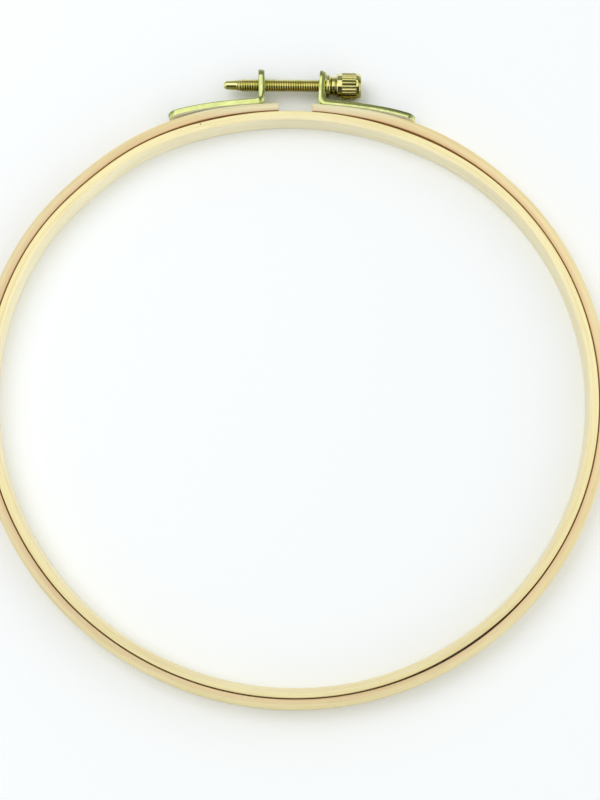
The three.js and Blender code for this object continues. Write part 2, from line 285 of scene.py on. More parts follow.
def section(width, depth, rounding, outside):
    """A rounded rectangle as pairs of distance across and height, counterclockwise from low inside."""
    corners = ((width - outside, outside, -90, outside), (width - outside, depth - outside, 0, outside),
               (rounding, depth - rounding, 90, rounding), (rounding, rounding, 180, rounding))
    spans = (WALL_STEPS, WALL_STEPS - 1, WALL_STEPS, WALL_STEPS - 1)
    points = []
    for index, (across, height, start, size) in enumerate(corners):
        for k in range(EDGE_STEPS + 1):
            turn = math.radians(start + 90 * k / EDGE_STEPS)
            points.append((across + size * math.cos(turn), height + size * math.sin(turn)))
        next_across, next_height, next_start, next_size = corners[(index + 1) % 4]
        turn = math.radians(next_start)
        goal = (next_across + next_size * math.cos(turn), next_height + next_size * math.sin(turn))
        last = points[-1]
        for k in range(1, spans[index]):
            share = k / spans[index]
            points.append((last[0] + (goal[0] - last[0]) * share, last[1] + (goal[1] - last[1]) * share))
    return np.array(points)


def ring_piece(name, levels, turns, closed, seed):
    """A sanded wooden ring lofted round the hoop from the frame's own faces."""
    inner, outer = ring_at(levels, turns)
    if not closed:
        outer = outer - INSIDE_BOX / 3
    rounding = EDGE_ROUNDING * (ROUNDING_MEAN + ROUNDING_WOBBLE * wave(turns, seed))
    tops = RING_DEPTH - TOP_WOBBLE * (1 + wave(turns, seed + 1))
    rows = []
    for turn, r_in, r_out, r_edge, top in zip(turns, inner, outer, rounding, tops):
        shape = section(r_out - r_in, top, r_edge, r_edge if closed else OUTSIDE_ROUNDING)
        rows.append([(r_in + across, turn, height, across) for across, height in shape])
    rows = np.array(rows)
    count, around = rows.shape[:2]
    radius, turn, height = rows[..., 0], rows[..., 1], rows[..., 2]
    x = RING_MIDDLE[0] + radius * np.cos(turn)
    y = RING_MIDDLE[1] + radius * np.sin(turn)
    if not closed:
        ends = ((0, -1, 0), (1, -1, SPLIT_END_ROUNDING), (-1, 1, 0), (-2, 1, SPLIT_END_ROUNDING))
        for row, side, back in ends:
            x[row] = side * (SPLIT_HALF + back)
            y[row] = RING_MIDDLE[1] + np.sqrt(radius[row] ** 2 - (x[row] - RING_MIDDLE[0]) ** 2)
        for row in (0, -1):
            middle_y, middle_z = y[row].mean(), height[row].mean()
            y[row] = middle_y + (y[row] - middle_y) * (1 - SPLIT_END_ROUNDING / HALF_WALL)
            height[row] = middle_z + (height[row] - middle_z) * (1 - SPLIT_END_ROUNDING / HALF_DEPTH)
    vertices = np.stack([x, y, height], -1).reshape(-1, 3)
    along = (turns - turns[0]) * inner.mean()
    stretch = 2 * math.pi * inner.mean()
    faces, grain = [], []
    for i in range(count if closed else count - 1):
        after = (i + 1) % count
        along_after = along[after] if after > i else stretch
        for j in range(around):
            k = (j + 1) % around
            faces.append((i * around + j, i * around + k, after * around + k, after * around + j))
            for row, place, column in ((i, along[i], j), (i, along[i], k), (after, along_after, k),
                                       (after, along_after, j)):
                grain.append((place, rows[row, column, 3], rows[row, column, 2]))
    caps = []
    if not closed:
        caps = [len(faces), len(faces) + 1]
        for row in (0, count - 1):
            faces.append(tuple(row * around + j for j in range(around)))
            grain += [(along[row], rows[row, j, 3], rows[row, j, 2]) for j in range(around)]
    piece = new_piece(name, vertices, faces, np.array(grain) / MM, set(caps), SHARP_RING)
    mark(piece, "side", (radius - inner[:, None]) / (outer - inner)[:, None])
    face_out(piece, merge=False)
    return piece


def wood_outside(turn):
    """The radius of the outer ring's outer face at one angle."""
    return float(ring_at(OUTER_LEVELS, np.array([turn]))[1][0])


def polar(radius, turn):
    x, y = RING_MIDDLE
    return Vector((x + radius * math.cos(turn), y + radius * math.sin(turn), 0))


def ear_turn(ear):
    """The angle of an ear's near face at its foot."""
    return math.pi / 2 - ear["side"] * math.asin(ear["face"] / wood_outside(CLAMP_TURN))


def strip_point(ear, share, out):
    """A point of the strip at a share of its length from the ear, a distance out from its wood side."""
    turn = ear_turn(ear) - ear["side"] * ear["reach"] * share
    return polar(wood_outside(turn) + SEAT_GAP + ear["lift"] * share ** 2 + out, turn)


def bracket_path(ear):
    """The middle line of a bracket's sheet from the ear's tip to the strip's far end.

    Returned with the length along it at each point, and the lengths at which its bend begins and ends.
    """
    foot = strip_point(ear, 0, 0)
    side, lean = ear["side"], math.tan(ear["lean"])

    def ear_point(y):
        return Vector((side * (ear["face"] + SHEET / 2 + lean * (y - foot.y)), y, 0))

    corner_share = (SHEET / 2) / (ear["reach"] * wood_outside(ear_turn(ear)))
    corner = ear_point(strip_point(ear, corner_share, SHEET / 2).y)
    onward = strip_point(ear, corner_share + 0.1, SHEET / 2) - strip_point(ear, corner_share, SHEET / 2)
    down = Vector((-side * lean, -1, 0)).normalized()
    onward.normalize()
    turn = down.angle(onward)
    radius = BEND_INSIDE + SHEET / 2
    reach = radius * math.tan(turn / 2)
    inward = (onward - down).normalized()
    centre = corner + inward * (radius / math.cos(turn / 2))
    tip = ear_point(AXIS_Y + ear["tip"] - INSIDE_BOX)
    start = corner - down * reach
    points = [tip.lerp(start, k / EAR_STEPS) for k in range(EAR_STEPS)]
    first = start - centre
    for k in range(BEND_STEPS + 1):
        points.append(centre + first.copy().xyz @ Matrix.Rotation(-side * turn * k / BEND_STEPS, 3, "Z"))
    strip_length = ear["reach"] * wood_outside(ear_turn(ear))
    first_share = corner_share + reach / strip_length
    end_of_bend = points[-1]
    slip = end_of_bend - strip_point(ear, first_share, SHEET / 2)
    for k in range(1, STRIP_STEPS + 1):
        share = first_share + (1 - first_share) * k / STRIP_STEPS
        fade = max(0.0, 1 - k / SLIP_STEPS)
        points.append(strip_point(ear, share, SHEET / 2) + slip * fade)
    line = np.array([tuple(p)[:2] for p in points])
    steps = np.hypot(*np.diff(line, axis=0).T)
    lengths = np.concatenate([[0], np.cumsum(steps)])
    return line, lengths, (lengths[EAR_STEPS], lengths[EAR_STEPS + BEND_STEPS])


def bracket_piece(name, ear):
    """A stamped strip, bent once: outline loops at several depths of the sheet, carried along the path."""
    line, lengths, bend = bracket_path(ear)
    bend_middle = (bend[0] + bend[1]) / 2
    total = lengths[-1]
    tangent = np.gradient(line, lengths, axis=0)
    tangent /= np.linalg.norm(tangent, axis=1)[:, None]
    normal = ear["side"] * np.stack([-tangent[:, 1], tangent[:, 0]], -1)
    width = STRIP_HALF_WIDTH
    # where the outline has its points: round the ear's tip, straight on, round the bend, along, round the end
    stations = [("tip", math.radians(a)) for a in np.linspace(90, 0, ROUND_END_POINTS)]
    stations += [("run", s) for s in np.linspace(width + 0.4 * MM, bend[0] - 0.2 * MM, 6)]
    stations += [("run", s) for s in np.linspace(bend[0], bend[1], 17)]
    stations += [("run", s) for s in np.linspace(bend[1] + 0.5 * MM, total - STRIP_TIP - 0.5 * MM, 30)]
    stations += [("end", math.radians(a)) for a in np.linspace(0, 90, ROUND_END_POINTS)]

    def rolled(outer_edge, other_edge):
        """Insets and depths of the outline loops, from the outer side of the sheet to the wood's."""
        depth, drop, power = outer_edge
        rows = [(drop + EDGE_STEP, SHEET)]
        for k in range(7):
            share = 1 - k / 6
            rows.append((drop * share ** power, SHEET - FACE_STEP - (depth - FACE_STEP) * (1 - share)))
        depth, drop, power = other_edge
        for k in range(6):
            share = k / 5
            rows.append((drop * share ** power, depth - (depth - FACE_STEP) * share))
        rows.append((drop + EDGE_STEP, 0))
        return np.array(rows)

    profile = rolled(ear["outer_edge"], ear["wood_edge"])
    strip_profile = rolled(ear["outer_edge"], ear["strip_edge"])

    def past_bend(kind, value):
        """0 on the ear, 1 on the strip."""
        if kind == "run":
            return min(max((value - bend[0]) / (bend[1] - bend[0]), 0), 1)
        return 0 if kind == "tip" else 1

    def place(kind, value, inset, out, edge):
        """A point of an outline loop, and the same point on the flat blank."""
        if kind == "run":
            along, z = value, width - inset
        else:
            length = width if kind == "tip" else STRIP_TIP
            reach = (length - inset) * math.sin(value)
            along = length - reach if kind == "tip" else total - length + reach
            z = (width - inset) * math.cos(value)
        in_bend = math.exp(-(((along - bend_middle) / (0.7 * (bend[1] - bend[0]))) ** 2))
        # a bend squeezes its inside wider and draws its outside narrower
        z += BULGE * (1 + 1.6 * ear["crease"]) * in_bend * (out / SHEET - 0.6)
        off_middle = out - SHEET / 2
        x, y = (np.interp(along, lengths, line[:, k]) + np.interp(along, lengths, normal[:, k]) * off_middle
                for k in (0, 1))
        return (x, y, AXIS_HEIGHT + edge * z), (along, edge * z, out)

    vertices, places = [], []
    count = len(stations)
    for near, far in zip(profile, strip_profile):
        for edge, order in ((1, stations), (-1, stations[::-1])):
            for kind, value in order:
                inset, out = near + (far - near) * past_bend(kind, value)
                at, grain = place(kind, value, inset, out, edge)
                vertices.append(at)
                places.append(grain)
    loop = 2 * count
    faces = []
    for k in range(len(profile) - 1):
        for j in range(loop):
            n = (j + 1) % loop
            faces.append((k * loop + j, k * loop + n, (k + 1) * loop + n, (k + 1) * loop + j))
    for base in (0, (len(profile) - 1) * loop):
        for j in range(count - 1):
            faces.append((base + j, base + j + 1, base + loop - 2 - j, base + loop - 1 - j))
    grain = [tuple(np.array(places[v]) / MM) for f in faces for v in f]
    piece = new_piece(name, vertices, faces, grain)
    along, _, out = np.array(places).T
    # painted shade at the ear's tip and in the fold, and a painted dark reflection along part of the outer
    # edge
    outer_side = np.clip((out / SHEET - 0.5) / 0.3, 0, 1)
    crease = np.exp(-(((along - bend_middle) / (0.45 * MM)) ** 2)) * outer_side * ear["crease"]
    painted_dark_edge = np.interp(along / total, ear["painted_dark_edge"], (0, 1)) * outer_side
    painted_shade = np.maximum.reduce([np.clip((PAINTED_SHADE_TIP - along) / (0.6 * PAINTED_SHADE_TIP), 0, 1), crease, painted_dark_edge])
    mark(piece, "painted_shade_mark", painted_shade)
    # painted light: the strip's face next to the wood is painted pale and matt
    mark(piece, "painted_light_back", (out < 0.01 * MM) & (along > bend[1]))
    face_out(piece)
    return piece


def turned(name, profile, steps, place=None):
    """A closed solid turned about its own X axis, from pairs of distance along X and radius."""
    vertices, faces = [], []
    for along, radius in profile:
        for k in range(steps):
            a = 2 * math.pi * k / steps
            vertices.append((along, radius * math.cos(a), radius * math.sin(a)))
    for i in range(len(profile) - 1):
        for k in range(steps):
            n = (k + 1) % steps
            faces.append((i * steps + k, (i + 1) * steps + k, (i + 1) * steps + n, i * steps + n))
    piece = new_piece(name, vertices, faces)
    face_out(piece)
    if place is not None:
        piece.data.transform(place)
    return piece


def ear_middle(ear):
    """Where the middle of an ear's sheet crosses the screw's axis."""
    foot = strip_point(ear, 0, 0)
    return ear["side"] * (ear["face"] + math.tan(ear["lean"]) * (AXIS_Y - foot.y) + SHEET / 2)


def drill(piece, ear, radius, boss):
    """The screw's hole in an ear, with its drawn boss on the threaded one."""
    centre = Matrix.Translation((ear_middle(ear), AXIS_Y, AXIS_HEIGHT))
    face = SHEET / 2
    if boss:
        end = face + BOSS_LENGTH
        rim = [(0, 0), (0, BOSS_RADIUS + BOSS_FOOT[0][1])]
        rim += [(face + out, BOSS_RADIUS + wider) for out, wider in BOSS_FOOT]
        rim += [(end + out, BOSS_RADIUS + wider) for out, wider in BOSS_TOP]
        rim += [(end, 0)]
        cut_or_join(piece, turned("boss", rim, HOLE_COLUMNS, centre), "UNION")
    far = face + (BOSS_LENGTH if boss else 0)
    wide = radius + MM + HOLE_FLARE
    cutter = [(-face - MM, 0), (-face - MM, wide), (-face + HOLE_FLARE, radius),
              (far - HOLE_FLARE, radius), (far + MM, wide), (far + MM, 0)]
    cut_or_join(piece, turned("drill", cutter, HOLE_COLUMNS, centre), "DIFFERENCE")
    piece.data.set_sharp_from_angle(angle=math.radians(SHARP))


def strip_matrix(ear, share):
    """Origin on the strip's outer face, X out of the wood."""
    here = strip_point(ear, share, SHEET)
    run = (strip_point(ear, share + 0.01, SHEET) - strip_point(ear, share - 0.01, SHEET)).normalized()
    out = ear["side"] * Vector((-run.y, run.x, 0))
    up = Vector((0, 0, 1))
    across = up.cross(out)
    basis = Matrix((out, across, up)).transposed().to_4x4()
    basis.translation = (here.x, here.y, AXIS_HEIGHT)
    return basis


def rivet_piece(name, ear, share):
    """A domed rivet through the strip and into the wood."""
    end = -(SHEET + SEAT_GAP + ear["lift"] * share ** 2 + RIVET_BITE)
    profile = [(end, 0), (end, RIVET_SHANK), (RIVET_CLEARANCE, RIVET_SHANK)]
    profile.append((RIVET_CLEARANCE, RIVET_HEAD * 0.97))
    for k in range(10):
        a = math.pi / 2 * k / 9
        lift = RIVET_CLEARANCE + RIVET_RIM + (RIVET_HEAD_HEIGHT - RIVET_RIM) * math.sin(a)
        profile.append((lift, RIVET_HEAD * math.cos(a)))
    return turned(name, profile, RIVET_COLUMNS, strip_matrix(ear, share))


def screw_piece():
    """The thumb screw as one turned, threaded and fluted surface, with a slot across its end."""
    tip, end = SCREW_LOW.x - NOSE_REACH, SCREW_HIGH.x
    dome = end - DRUM_END_LENGTH
    drum = dome - DRUM_LENGTH
    shoulder = drum - SHOULDER_LENGTH
    bead = shoulder - BEAD_LENGTH
    collar = bead - COLLAR_LENGTH
    thread_start = tip + PILOT_LENGTH
    thread_end = collar - 0.3 * MM
    columns = SCREW_COLUMNS
    turn = 2 * math.pi * np.arange(columns) / columns
    rows = []

    def plain(along, radius, painted_shade_mark=0.0):
        rows.append((np.full(columns, along), np.full(columns, radius), np.full(columns, painted_shade_mark)))

    plain(tip, 0)
    for k in range(1, 10):
        a = math.pi / 2 * k / 9
        plain(tip + NOSE_LENGTH * (1 - math.cos(a)), PILOT_RADIUS * math.sin(a) ** 0.75)
    plain(tip + NOSE_LENGTH + 0.3 * MM, PILOT_RADIUS + 0.01 * MM)
    plain(thread_start - 0.1 * MM, PILOT_FOOT_RADIUS)

    root = THREAD_RADIUS - THREAD_DEPTH
    first = thread_start - PITCH
    count = int((thread_end - thread_start) / PITCH) + 2
    start_of_thread = len(rows)
    for n in range(count):
        for step in range(THREAD_ROWS):
            phase = step / THREAD_ROWS
            swell = 0.5 + 0.5 * math.cos(2 * math.pi * phase)
            along = first + PITCH * (n + phase + np.arange(columns) / columns)
            along = np.clip(along, thread_start, thread_end)
            grow = np.clip((along - thread_start) / THREAD_RUN_IN, 0, 1)
            crest = PILOT_FOOT_RADIUS + (THREAD_RADIUS - PILOT_FOOT_RADIUS) * grow ** 0.75
            valley = PILOT_FOOT_RADIUS + (root - PILOT_FOOT_RADIUS) * grow
            fade = np.clip((thread_end - along) / (0.5 * PITCH), 0, 1)
            radius = valley + (crest - valley) * swell * fade
            rows.append((along, radius, np.full(columns, 0.5 * (1 - swell))))
    plain(thread_end, root, 1)
    plain(collar, root, 1)

    plain(collar, COLLAR_RADIUS * COLLAR_FOOT)
    for along, radius in COLLAR_SHAPE:
        plain(collar + along * COLLAR_LENGTH, COLLAR_RADIUS * radius)
    for k in range(BEAD_STEPS + 1):
        swell = math.sin(math.pi * k / BEAD_STEPS) ** 0.6
        along = bead + BEAD_LENGTH * k / BEAD_STEPS
        plain(along, NECK_RADIUS + (BEAD_RADIUS - NECK_RADIUS) * swell, 1 - swell)
    for along, radius in SHOULDER_SHAPE:
        plain(shoulder + along * SHOULDER_LENGTH, SHOULDER_RADIUS * radius)

    crest = np.abs(np.cos(turn * FLUTES / 2))
    flute = FLUTE_DEPTH * (1 - crest)

    def ribbed(along, radius, depth=1.0):
        rows.append((np.full(columns, along), radius - flute * depth, depth * (1 - crest)))

    ribbed(drum, SHOULDER_RADIUS, 0.0)
    ribbed(drum + 0.02 * MM, DRUM_RADIUS - 0.12 * MM)
    ribbed(drum + 0.12 * MM, DRUM_RADIUS)
    ribbed(dome - 0.25 * MM, DRUM_RADIUS)
    ribbed(dome - 0.08 * MM, DRUM_RADIUS - 0.08 * MM, 0.6)
    narrowing = DRUM_RADIUS - DRUM_END_STEP - DRUM_END_RADIUS
    for k in range(9):
        a = math.pi / 2 * k / 8
        share = DRUM_END_SHARE + (1 - DRUM_END_SHARE) * math.cos(a)
        plain(dome + (DRUM_END_LENGTH - DRUM_END_LIP) * math.sin(a), DRUM_END_RADIUS + narrowing * share)
    last = DRUM_END_RADIUS + narrowing * DRUM_END_SHARE
    for k in range(1, 5):
        a = math.pi / 2 * k / 4
        plain(end - DRUM_END_LIP * (1 - math.sin(a)), last - DRUM_END_LIP * (1 - math.cos(a)))
    plain(end, 0)

    vertices, faces = [], []
    for along, radius, _ in rows:
        vertices += list(zip(along, radius * np.cos(turn), radius * np.sin(turn)))
    end_of_thread = start_of_thread + THREAD_ROWS * count
    for i in range(len(rows) - 1):
        for j in range(columns):
            n = (j + 1) % columns
            wrap = n == 0
            a, b = i * columns + j, (i + 1) * columns + j
            c, d = (i + 1) * columns + n, i * columns + n
            if wrap and start_of_thread <= i < end_of_thread:
                d = min(i + THREAD_ROWS, end_of_thread) * columns
                c = min(i + THREAD_ROWS + 1, end_of_thread) * columns
            elif wrap and i == start_of_thread - 1:
                c = (start_of_thread + THREAD_ROWS) * columns
            faces.append((a, b, c, d))
    piece = new_piece("thumb_screw_turned", vertices, faces)
    # painted shade in the screw's recesses: the thread's roots, the necks beside the bead and the flutes'
    # valleys
    mark(piece, "painted_shade_mark", np.concatenate([painted_shade_mark for _, _, painted_shade_mark in rows]))
    # a brown painted dark reflection on the screw's underside, darkest at DARK_REFLECTION_TURN
    under = np.cos(turn - DARK_REFLECTION_TURN)
    mark(piece, "painted_dark_reflection", np.tile(np.clip((under - 0.3) / 0.4, 0, 1), len(rows)))
    face_out(piece)
    piece.data.transform(Matrix.Translation((0, AXIS_Y, AXIS_HEIGHT)))
    bpy.ops.mesh.primitive_cube_add(size=1)
    tool = bpy.context.object
    tool.scale = (2 * SLOT_DEPTH, SLOT_WIDTH, 4 * DRUM_RADIUS)
    tool.location = (end, AXIS_Y, AXIS_HEIGHT)
    cut_or_join(piece, tool, "DIFFERENCE")
    piece.data.set_sharp_from_angle(angle=math.radians(SHARP_SCREW))
    return piece


# Materials
def material(name):
    """A new material with its node tree and its main shader."""
    made = bpy.data.materials.new(name)
    made.use_nodes = True
    tree = made.node_tree
    shader = tree.nodes["Principled BSDF"]
    return made, tree, shader


def node(tree, kind, inputs=None, **settings):
    """A node whose inputs are linked from sockets or set to values."""
    made = tree.nodes.new(kind)
    for key, value in settings.items():
        setattr(made, key, value)
    for key, value in (inputs or {}).items():
        if isinstance(value, bpy.types.NodeSocket):
            tree.links.new(value, made.inputs[key])
        else:
            made.inputs[key].default_value = value
    return made


def attribute(tree, name):
    return node(tree, "ShaderNodeAttribute", attribute_name=name).outputs["Fac"]


def grain_vector(tree, scale):
    place = node(tree, "ShaderNodeAttribute", attribute_name="grain")
    return node(tree, "ShaderNodeVectorMath", {0: place.outputs["Vector"], 1: scale},
                operation="MULTIPLY").outputs["Vector"]


def noise(tree, vector, scale=1.0, detail=3.0, roughness=0.55):
    return node(tree, "ShaderNodeTexNoise", {"Vector": vector, "Scale": scale, "Detail": detail,
                                             "Roughness": roughness}).outputs["Fac"]


def spread(tree, value, low, high, to_low=0.0, to_high=1.0):
    return node(tree, "ShaderNodeMapRange", {"Value": value, "From Min": low, "From Max": high,
                                             "To Min": to_low, "To Max": to_high}).outputs["Result"]


def blend_colour(tree, factor, first, second, mode="MIX"):
    """Mix two colours, which are the Mix node's inputs 6 and 7."""
    made = node(tree, "ShaderNodeMix", data_type="RGBA", blend_type=mode)
    for index, value in ((0, factor), (6, first), (7, second)):
        if isinstance(value, bpy.types.NodeSocket):
            tree.links.new(value, made.inputs[index])
        else:
            made.inputs[index].default_value = value
    return made.outputs[2]


def linear(red, green, blue):
    """A colour given as it shows on a screen, from 0 to 255, in the renderer's own units."""
    def one(value):
        value /= 255
        return value / 12.92 if value <= 0.04045 else ((value + 0.055) / 1.055) ** 2.4
    return (one(red), one(green), one(blue), 1.0)


def wood(name, tones, hidden, painted_light_round, seed, pin=None):
    """Sanded beech. tones run across the ring, from its inner wall to its outer one; the grain darkens them.

    hidden: where the wall next to the other ring begins and ends, and its own tone below the top edge, under
    the painted shade that the tones put along that wall's top as the gap's dark line.
    sides: painted light and shade round the hoop, as the colour that multiplies the tone at each end of an
    axis.
    """
    made, tree, shader = material(name)
    shift = (seed * 37.0, seed * 11.0, seed * 5.0)

    def at(scale):
        moved = node(tree, "ShaderNodeVectorMath", {0: grain_vector(tree, scale), 1: shift}, operation="ADD")
        return moved.outputs["Vector"]

    side = attribute(tree, "side")
    colour = tones[0][1]
    for (before, _), (after, tone) in zip(tones, tones[1:]):
        colour = blend_colour(tree, spread(tree, side, before, after), colour, tone)
    place = node(tree, "ShaderNodeTexCoord").outputs["Object"]
    axes = node(tree, "ShaderNodeSeparateXYZ", {"Vector": place}).outputs
    # below the painted shade along its top, the wall next to the other ring keeps its own tone
    start, stop, tone = hidden
    low = spread(tree, axes["Z"], RING_DEPTH - 1.1 * MM, RING_DEPTH - 1.9 * MM)
    facing = spread(tree, side, start, stop)
    low_wall = node(tree, "ShaderNodeMath", {0: low, 1: facing}, operation="MULTIPLY").outputs["Value"]
    colour = blend_colour(tree, low_wall, colour, tone)
    # painted light and shade round the hoop
    for axis, start, stop, change in painted_light_round:
        colour = blend_colour(tree, spread(tree, axes[axis], start, stop), colour, change, "MULTIPLY")
    streaks = noise(tree, at((0.03, 1.1, 1.1)), detail=5, roughness=0.6)
    broad = noise(tree, at((0.012, 0.14, 0.14)), detail=2)
    fibres = noise(tree, at((0.16, 6.0, 6.0)), detail=2)
    flecks = noise(tree, at((0.4, 4.5, 4.5)), detail=1)
    colour = blend_colour(tree, spread(tree, broad, 0.36, 0.66), colour, WARM_WOOD, "MULTIPLY")
    colour = blend_colour(tree, spread(tree, streaks, 0.44, 0.72, 0, 0.75), colour, STREAK, "MULTIPLY")
    colour = blend_colour(tree, spread(tree, fibres, 0.5, 0.78, 0, 0.5), colour, STREAK, "MULTIPLY")
    colour = blend_colour(tree, spread(tree, flecks, 0.66, 0.74, 0, 0.7), colour, STREAK, "MULTIPLY")
    if pin:
        away = node(tree, "ShaderNodeVectorMath", {0: place, 1: pin}, operation="DISTANCE").outputs["Value"]
        colour = blend_colour(tree, spread(tree, away, 0.36 * MM, 0.14 * MM), colour, PIN_HEAD, "MULTIPLY")
    tree.links.new(colour, shader.inputs["Base Color"])
    rough = spread(tree, fibres, 0.3, 0.7, 0.5, 0.68)
    tree.links.new(rough, shader.inputs["Roughness"])
    shader.inputs["Specular IOR Level"].default_value = 0.35
    bump = node(tree, "ShaderNodeBump", {"Height": fibres, "Strength": 0.25, "Distance": 0.00006})
    tree.links.new(bump.outputs["Normal"], shader.inputs["Normal"])
    return made


def metal(name, colour, tint, painted_shade, roughness, scratch_scale, has_dark_reflection_paint=False, paints_back_light=False):
    """Bright metal, darkened with painted shade where the mesh's hollow mark is 1.

    has_dark_reflection_paint: a brown painted dark reflection where the tarnish mark is 1; paints_back_light:
    painted light, pale and matt, where the bare mark is 1.
    """
    made, tree, shader = material(name)
    place = node(tree, "ShaderNodeTexCoord").outputs["Object"]
    clouds = noise(tree, place, scale=260, detail=3)
    fine = noise(tree, node(tree, "ShaderNodeVectorMath", {0: place, 1: scratch_scale},
                            operation="MULTIPLY").outputs["Vector"], scale=1, detail=2)
    painted_shade_mark = attribute(tree, "painted_shade_mark")
    mixed = blend_colour(tree, spread(tree, clouds, 0.38, 0.66), colour, tint)
    # painted shade: a darker colour where the hollow mark is 1
    mixed = blend_colour(tree, spread(tree, painted_shade_mark, 0.1, 1.0, 0.0, 0.7), mixed, painted_shade)
    shader.inputs["Metallic"].default_value = 1.0
    # a brown painted dark reflection where the tarnish mark is 1
    if has_dark_reflection_paint:
        painted_dark_reflection = attribute(tree, "painted_dark_reflection")
        mixed = blend_colour(tree, spread(tree, painted_dark_reflection, 0.0, 1.0, 0.0, 0.7), mixed, DARK_REFLECTION_PAINT)
    # painted light: pale and matt where the bare mark is 1
    if paints_back_light:
        painted_light_back = attribute(tree, "painted_light_back")
        mixed = blend_colour(tree, painted_light_back, mixed, PAINTED_LIGHT_BACK_COLOUR)
        tree.links.new(spread(tree, painted_light_back, 0.0, 1.0, 1.0, 0.0), shader.inputs["Metallic"])
    tree.links.new(mixed, shader.inputs["Base Color"])
    rough = spread(tree, clouds, 0.3, 0.7, roughness - 0.05, roughness + 0.07)
    tree.links.new(rough, shader.inputs["Roughness"])
    bump = node(tree, "ShaderNodeBump", {"Height": fine, "Strength": 0.12, "Distance": 0.00002})
    tree.links.new(bump.outputs["Normal"], shader.inputs["Normal"])
    return made


# Tones
# the pale colour of the painted light on the strips' faces next to the wood
PAINTED_LIGHT_BACK_COLOUR = (0.92, 0.92, 0.86, 1.0)
# the colour of the painted dark reflection on the screw's underside
DARK_REFLECTION_PAINT = (0.24, 0.14, 0.022, 1.0)
WARM_WOOD = (0.965, 0.945, 0.91, 1.0)
STREAK = (0.86, 0.8, 0.7, 1.0)
PIN_HEAD = (0.3, 0.26, 0.2, 1.0)
PIN_PLACE = (-30.97 * MM, 83.56 * MM, RING_DEPTH)
# the inner ring's last tone and the outer ring's first, on the walls either side of the gap, are painted
# shade: the gap's dark line
INNER_TONES = ((0.0, linear(252, 246, 212)), (0.07, linear(252, 243, 198)), (0.45, linear(252, 241, 190)),
               (0.9, linear(253, 245, 184)), (0.98, linear(236, 210, 158)))
OUTER_TONES = ((0.0, linear(186, 136, 90)), (0.05, linear(232, 208, 158)), (0.25, linear(238, 214, 168)),
               (0.55, linear(242, 226, 176)), (1.0, linear(238, 224, 172)))
# each ring's own tone low on the wall next to the other ring, below the painted shade
INNER_HIDDEN = (0.9, 0.98, linear(251, 241, 190))
OUTER_HIDDEN = (0.05, 0.0, linear(238, 218, 168))
# painted light and shade round the hoop: darker to the south and north, paler and cooler on the outer ring by
# the clamp, darker to the west and lighter to the east
INNER_PAINTED_LIGHT = (("Y", -0.02, -0.09, (0.88, 0.875, 0.89, 1.0)), ("Y", 0.075, 0.095, (0.94, 0.94, 0.95, 1.0)))
OUTER_PAINTED_LIGHT = (("Y", -0.02, -0.09, (0.93, 0.97, 1.0, 1.0)), ("Y", 0.075, 0.095, (0.97, 0.97, 0.95, 1.0)),
               ("Y", 0.0855, 0.0885, (0.98, 1.07, 1.24, 1.0)),
               ("X", -0.03, -0.08, (0.94, 0.92, 0.94, 1.0)), ("X", 0.03, 0.08, (1.05, 1.05, 1.05, 1.0)))
pale_wood = wood("pale_wood", INNER_TONES, INNER_HIDDEN, INNER_PAINTED_LIGHT, 1, PIN_PLACE)
tan_wood = wood("tan_wood", OUTER_TONES, OUTER_HIDDEN, OUTER_PAINTED_LIGHT, 2)
# each metal's third colour is its painted shade, used where a piece carries that mark
plated = metal("plated_strip", linear(226, 232, 158), linear(208, 218, 136), linear(84, 92, 46), 0.24,
               (2500, 2500, 9000), paints_back_light=True)
rivet_plating = metal("plated_rivet", linear(222, 228, 134), linear(200, 207, 104), linear(112, 116, 50),
                      0.28, (4000, 4000, 4000))
brass = metal("screw_brass", linear(236, 232, 164), linear(216, 214, 130), linear(136, 94, 34), 0.13,
              (9000, 900, 900), has_dark_reflection_paint=True)


def dress(piece, finish, body=None, stands_for=None):
    """Give a piece its material and body, and hide the node whose place it takes."""
    piece.data.materials.clear()
    piece.data.materials.append(finish)
    if body:
        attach(piece, body)
    if stands_for:
        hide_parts(stands_for)


# The wood
inner_turns = math.radians(SCARF_DEGREES) + np.linspace(0, 2 * math.pi, RING_STEPS, endpoint=False)
inner = ring_piece("inner_ring_wood", INNER_LEVELS, inner_turns, True, 11)
dress(inner, pale_wood, "inner_hoop", "inner_ring")

end_angle = math.asin(SPLIT_HALF / wood_outside(CLAMP_TURN))
outer_turns = np.linspace(math.pi / 2 + end_angle, 2.5 * math.pi - end_angle, RING_STEPS)
outer = ring_piece("outer_ring_wood", OUTER_LEVELS, outer_turns, False, 23)
dress(outer, tan_wood, None, "outer_ring")
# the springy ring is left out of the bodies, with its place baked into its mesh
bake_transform(outer)

# The clamp
SIDES = (("plain", PLAIN_EAR, "outer_hoop", PLAIN_HOLE, False),
         ("threaded", THREADED_EAR, "threaded_side", THREADED_HOLE, True))
for label, ear, body, hole, boss in SIDES:
    strip = bracket_piece(f"{label}_bracket_sheet", ear)
    drill(strip, ear, hole, boss)
    dress(strip, plated, body, f"{label}_bracket")
    for index, share in enumerate(RIVET_PLACES):
        rivet = rivet_piece(f"{label}_rivet_{index + 1}_turned", ear, share)
        dress(rivet, rivet_plating, body, f"{label}_rivet_{index + 1}")
screw = screw_piece()
dress(screw, brass, "screw", "thumb_screw")

# The table, the studio and the light
floor_mesh = bpy.data.meshes.new("table")
corners = [(TABLE_HALF * x, TABLE_HALF * y, 0) for x, y in ((-1, -1), (1, -1), (1, 1), (-1, 1))]
floor_mesh.from_pydata(corners, [], [(0, 1, 2, 3)])
table = bpy.data.objects.new("table", floor_mesh)
bpy.context.scene.collection.objects.link(table)
table_paint, tree, shader = material("table_paint")
shader.inputs["Base Color"].default_value = TABLE_COLOUR
shader.inputs["Roughness"].default_value = 0.9
shader.inputs["Specular IOR Level"].default_value = 0.1
